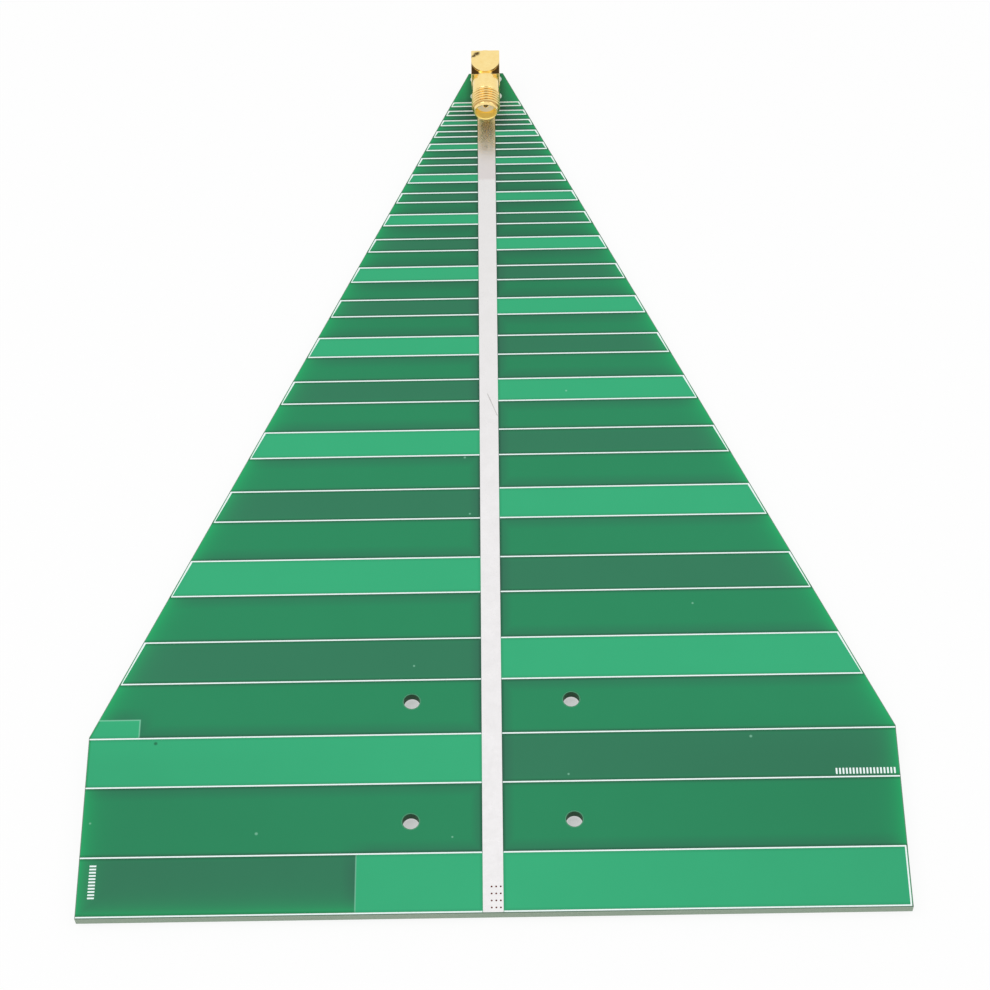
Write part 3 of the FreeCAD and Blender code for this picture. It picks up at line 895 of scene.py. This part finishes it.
# %% Gold plate
def gold_plate(name, stained=False, threaded=False):
    """Gold over brass, with stains and painted corner shade, or a thread painted darker in its
    grooves, where asked for.
    """
    finish, tree, shader = new_finish(name)
    where = place_in_mm(tree)
    film = speckle(tree, where, 1.1, 3.0)
    scuffs = speckle(tree, where, 9.0, 4.0, 0.6)
    colour = blend(tree, film, linear(246, 214, 138), linear(253, 230, 164))
    rough = maths(tree, "MULTIPLY_ADD", scuffs, 0.12, 0.14)
    # stained also paints shade in the block's front corners, besides the flux spot
    if stained:
        colour = blend(tree, shade_and_stain_cover(tree, where, scuffs), colour, linear(72, 52, 26))
    if threaded:
        groove_shade, bore = thread_and_bore(tree, where)
        # the grooves of the thread are painted darker as shade
        colour = paint_over(tree, colour, groove_shade, 0.8, linear(176, 128, 62))
        colour = blend(tree, bore, colour, linear(255, 230, 140))
        rough = maths(tree, "MULTIPLY_ADD", bore, 0.3, rough)
    tree.links.new(colour, shader.inputs["Base Color"])
    shader.inputs["Metallic"].default_value = 1.0
    tree.links.new(rough, shader.inputs["Roughness"])
    relief(tree, shader, scuffs, 0.006)
    return finish


gold = gold_plate("gold plate")
shaded_stained_gold = gold_plate("gold plate, shaded and stained", stained=True)
threaded_gold = gold_plate("gold plate, threaded", threaded=True)
print("gold finishes: plain, stained and threaded")

# %% White plastic and solder
def white_plastic():
    """A slightly soft white, as of a fluoropolymer sleeve."""
    finish, tree, shader = new_finish("white fluoropolymer")
    marks = speckle(tree, place_in_mm(tree), 4.0, 3.0)
    colour = blend(tree, marks, linear(246, 238, 232), linear(253, 247, 242))
    tree.links.new(colour, shader.inputs["Base Color"])
    shader.inputs["Roughness"].default_value = 0.4
    shader.inputs["Subsurface Weight"].default_value = 0.1
    shader.inputs["Subsurface Radius"].default_value = (MM, MM, MM)
    relief(tree, shader, marks, 0.01)
    return finish


def bright_solder():
    """Solder with a light frost."""
    finish, tree, shader = new_finish("bright solder")
    frost = speckle(tree, place_in_mm(tree), 3.0, 4.0, 0.6)
    colour = blend(tree, frost, linear(190, 190, 192), linear(224, 224, 226))
    tree.links.new(colour, shader.inputs["Base Color"])
    shader.inputs["Metallic"].default_value = 1.0
    tree.links.new(maths(tree, "MULTIPLY_ADD", frost, 0.25, 0.15), shader.inputs["Roughness"])
    relief(tree, shader, frost, 0.03)
    return finish


plastic = white_plastic()
solder = bright_solder()
print("made", plastic.name, "and", solder.name)

# %% [markdown]
# ## Dress the model
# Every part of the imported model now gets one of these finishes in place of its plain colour.
# Materials could be chosen part by part in the Properties editor. A table of names does the
# same in one go, and it can be read again later. The parts' shapes and places stay as they are.

# %% Give every part its finish
for name in ("connector_barrel", "centre_socket", "centre_pin"):
    FINISHES[name] = gold
for name in ("connector_block", "connector_cap"):
    FINISHES[name] = shaded_stained_gold
for name in ("barrel_insulator", "pin_insulator"):
    FINISHES[name] = plastic
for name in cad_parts:
    if name.startswith("leg_solder") or name == "pin_solder":
        FINISHES[name] = solder

for name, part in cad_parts.items():
    part.data.materials.clear()
    part.data.materials.append(FINISHES[name])
print("finished parts:", len(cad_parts))

# %% [markdown]
# ## The threaded barrel
# The real barrel is turned from brass, and a fine thread runs along most of it.
# A stack of rings would look much the same from afar, but a thread climbs as it turns.
# One tooth of the thread is drawn as a short line, and a Screw modifier sweeps it
# round the axis while it climbs by one pitch a turn.

# %% Draw a line
def draw_line(name, points):
    """A line through points given as (y, radius) in millimetres, above the jack's axis."""
    bpy.ops.object.select_all(action="DESELECT")
    bpy.ops.mesh.primitive_plane_add(size=MM)
    line = bpy.context.object
    line.name = name
    bpy.ops.object.mode_set(mode="EDIT")
    bpy.ops.mesh.select_all(action="SELECT")
    bpy.ops.mesh.merge(type="CENTER")
    first_y, first_radius = points[0]
    bpy.ops.transform.translate(value=Vector((0, first_y, first_radius)) * MM)
    for (old_y, old_radius), (y, radius) in zip(points, points[1:]):
        step = Vector((0, y - old_y, radius - old_radius)) * MM
        bpy.ops.mesh.extrude_region_move(TRANSFORM_OT_translate={"value": step})
    bpy.ops.object.mode_set(mode="OBJECT")
    return line


print("a line is drawn point by point, above the jack's axis")

# %% Sweep a line round the axis
ROUND_STEPS = 120


def sweep(line, climb, turns):
    """Turns the line round the y axis, moves it up to the jack's axis and fixes it there."""
    bpy.context.view_layer.objects.active = line
    screw = line.modifiers.new("sweep", "SCREW")
    screw.axis = "Y"
    screw.angle = 2 * math.pi
    screw.screw_offset = climb * MM
    screw.iterations = turns
    screw.steps = ROUND_STEPS
    screw.render_steps = ROUND_STEPS
    screw.use_merge_vertices = True
    screw.merge_threshold = 0.000001
    screw.use_smooth_shade = True
    bpy.ops.object.modifier_apply(modifier="sweep")
    line.location = (0, 0, JACK_AXIS_Z * MM)
    bpy.ops.object.select_all(action="DESELECT")
    line.select_set(True)
    bpy.ops.object.transform_apply(location=True, rotation=True, scale=True)


print("a swept line has", ROUND_STEPS, "steps to a turn")

# %% Cut the thread
PITCH = 0.7056
CREST = 3.175
ROOT = 2.76
FLAT = 0.09
THREAD_LENGTH = 4.7
FLANK = (PITCH - 2 * FLAT) / 2
FLANK_PARTS = (1 / 3, 2 / 3, 1)

start = JACK_FRONT_Y + 0.1 - PITCH
top = start + FLANK + FLAT
tooth_height = CREST - ROOT
tooth = [(start, ROOT)]
for part in FLANK_PARTS:
    tooth.append((start + FLANK * part, ROOT + tooth_height * part))
tooth.append((top, CREST))
for part in FLANK_PARTS:
    tooth.append((top + FLANK * part, CREST - tooth_height * part))
tooth.append((start + PITCH, ROOT))
turns = math.ceil(THREAD_LENGTH / PITCH) + 2
thread = draw_line("jack_thread", tooth)
sweep(thread, PITCH, turns)
print("thread turns:", turns, "and faces:", len(thread.data.polygons))

# %% Taper both ends of the thread
NOSE_LENGTH = 0.75
NOSE_TAPER = 0.45
NOSE_DROP = 0.525
RUN_OUT_SLOPE = 1.4
SMALLEST_RADIUS = 2.5


def widest(y):
    """The largest radius that the thread may have at y, so that it runs in and out gently."""
    run_in_end = JACK_FRONT_Y + NOSE_LENGTH + NOSE_TAPER
    run_in = CREST - (run_in_end - y) * NOSE_DROP / NOSE_TAPER
    run_out = CREST - (y - JACK_FRONT_Y - THREAD_LENGTH) * RUN_OUT_SLOPE
    return max(SMALLEST_RADIUS, min(CREST, run_in, run_out))


lowered = 0
for corner in thread.data.vertices:
    across = Vector((corner.co.x, 0, corner.co.z - JACK_AXIS_Z * MM))
    radius = across.length / MM
    limit = widest(corner.co.y / MM)
    if radius > limit:
        across = across * (limit / radius)
        corner.co.x = across.x
        corner.co.z = across.z + JACK_AXIS_Z * MM
        lowered += 1
print("corners lowered at the ends:", lowered)

# %% Cut both ends square
THREAD_CUTS = (JACK_FRONT_Y + 0.8, JACK_FRONT_Y + 5.0)

bpy.context.view_layer.objects.active = thread
bpy.ops.object.mode_set(mode="EDIT")
for y, outwards in zip(THREAD_CUTS, (-1, 1)):
    bpy.ops.mesh.select_all(action="SELECT")
    bpy.ops.mesh.bisect(plane_co=(0, y * MM, 0), plane_no=(0, outwards, 0), clear_outer=True)
bpy.ops.object.mode_set(mode="OBJECT")
print("thread faces between the cuts:", len(thread.data.polygons))

# %% [markdown]
# ## The rest of the barrel
# In front of the thread the real barrel has a smooth nose with a round mouth and a bore, and
# behind the thread a plain shoulder. A stack of cylinders would need its seams cleaned away.
# A lathe cuts from a profile, so here the profile is drawn once and swept one turn.
# Thread and body are then joined, and the gaps between them bridged, into one closed surface.

# %% Turn the rest of the barrel, open where the thread goes
NOSE_RADIUS = 2.65
MOUTH_RADIUS = 2.45
BORE_RADIUS = 2.3
BORE_DEPTH = 1.9
SLEEVE_RADIUS = 2.05
SHOULDER_RADIUS = 2.875
BARREL_LENGTH = BLOCK_FRONT_Y - JACK_FRONT_Y

turned = [
    (0.72, NOSE_RADIUS),
    (0.06, NOSE_RADIUS),
    (0.0, NOSE_RADIUS - 0.06),
    (0.0, MOUTH_RADIUS),
    (0.03, MOUTH_RADIUS - 0.04),
    (0.15, BORE_RADIUS),
    (BORE_DEPTH, BORE_RADIUS),
    (BORE_DEPTH, SLEEVE_RADIUS),
    (BARREL_LENGTH, SLEEVE_RADIUS),
    (BARREL_LENGTH, SHOULDER_RADIUS - 0.075),
    (BARREL_LENGTH - 0.08, SHOULDER_RADIUS),
    (5.2, SHOULDER_RADIUS),
    (5.1, SHOULDER_RADIUS - 0.045),
]
barrel = draw_line("jack_barrel", [(JACK_FRONT_Y + y, radius) for y, radius in turned])
sweep(barrel, 0.0, 1)
print("turned faces:", len(barrel.data.polygons))

# %% Join the two and bridge the gaps between them
CUT_REACH = 0.15

bpy.ops.object.select_all(action="DESELECT")
thread.select_set(True)
barrel.select_set(True)
bpy.context.view_layer.objects.active = barrel
bpy.ops.object.join()
bpy.ops.object.mode_set(mode="EDIT")
bpy.ops.mesh.select_mode(type="EDGE")
bpy.ops.mesh.select_all(action="SELECT")
bpy.ops.mesh.remove_doubles(threshold=0.000002)
for cut in THREAD_CUTS:
    bpy.ops.mesh.select_all(action="DESELECT")
    shape = bmesh.from_edit_mesh(barrel.data)
    for edge in shape.edges:
        away = max(abs(corner.co.y / MM - cut) for corner in edge.verts)
        edge.select_set(edge.is_boundary and away < CUT_REACH)
    bmesh.update_edit_mesh(barrel.data)
    bpy.ops.mesh.bridge_edge_loops()
bpy.ops.mesh.select_all(action="SELECT")
bpy.ops.mesh.normals_make_consistent(inside=False)
shape = bmesh.from_edit_mesh(barrel.data)
print("open edges left:", sum(not edge.is_manifold for edge in shape.edges))
bpy.ops.object.mode_set(mode="OBJECT")

# %% Finish the barrel
SMOOTH_BELOW = 32

bpy.ops.object.shade_smooth_by_angle(angle=math.radians(SMOOTH_BELOW))
barrel.data.materials.append(threaded_gold)
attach(barrel, "root")
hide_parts("connector_barrel")
print("barrel faces:", len(barrel.data.polygons))

# %% [markdown]
# ## Printed ticks
# Small marks are printed in two places near the wide end of the board.
# Here they are two plain rows of ticks, which say nothing and name nobody.
# One thin bar is made and an Array modifier repeats it, across the board or along it.

# %% Print two rows of ticks
INK_HEIGHT = 0.015
TICK_LONG = 1.3
TICK_WIDE = 0.34
TICK_PITCH = 0.66


def tick_row(name, count, start, turned):
    """A row of thin bars on the lacquer, from the middle of the first bar, in millimetres."""
    bpy.ops.object.select_all(action="DESELECT")
    middle = Vector((*start, MASK_TOP_Z + INK_HEIGHT / 2)) * MM
    bpy.ops.mesh.primitive_cube_add(size=MM, location=middle)
    row = bpy.context.object
    row.name = name
    sides = (TICK_LONG, TICK_WIDE) if turned else (TICK_WIDE, TICK_LONG)
    row.scale = (*sides, INK_HEIGHT)
    bpy.ops.object.transform_apply(location=True, rotation=True, scale=True)
    repeat = row.modifiers.new("repeat", "ARRAY")
    repeat.count = count
    repeat.use_relative_offset = False
    repeat.use_constant_offset = True
    step = (0, -TICK_PITCH, 0) if turned else (TICK_PITCH, 0, 0)
    repeat.constant_offset_displace = Vector(step) * MM
    bpy.ops.object.modifier_apply(modifier="repeat")
    row.data.materials.append(FINISHES["front_silkscreen"])
    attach(row, "root")
    return row


right_ticks = tick_row("tick_row_right", 18, (66.6, -3.65), turned=False)
left_ticks = tick_row("tick_row_left", 11, (-76.1, -21.4), turned=True)
print("ticks:", (len(right_ticks.data.polygons) + len(left_ticks.data.polygons)) // 6)
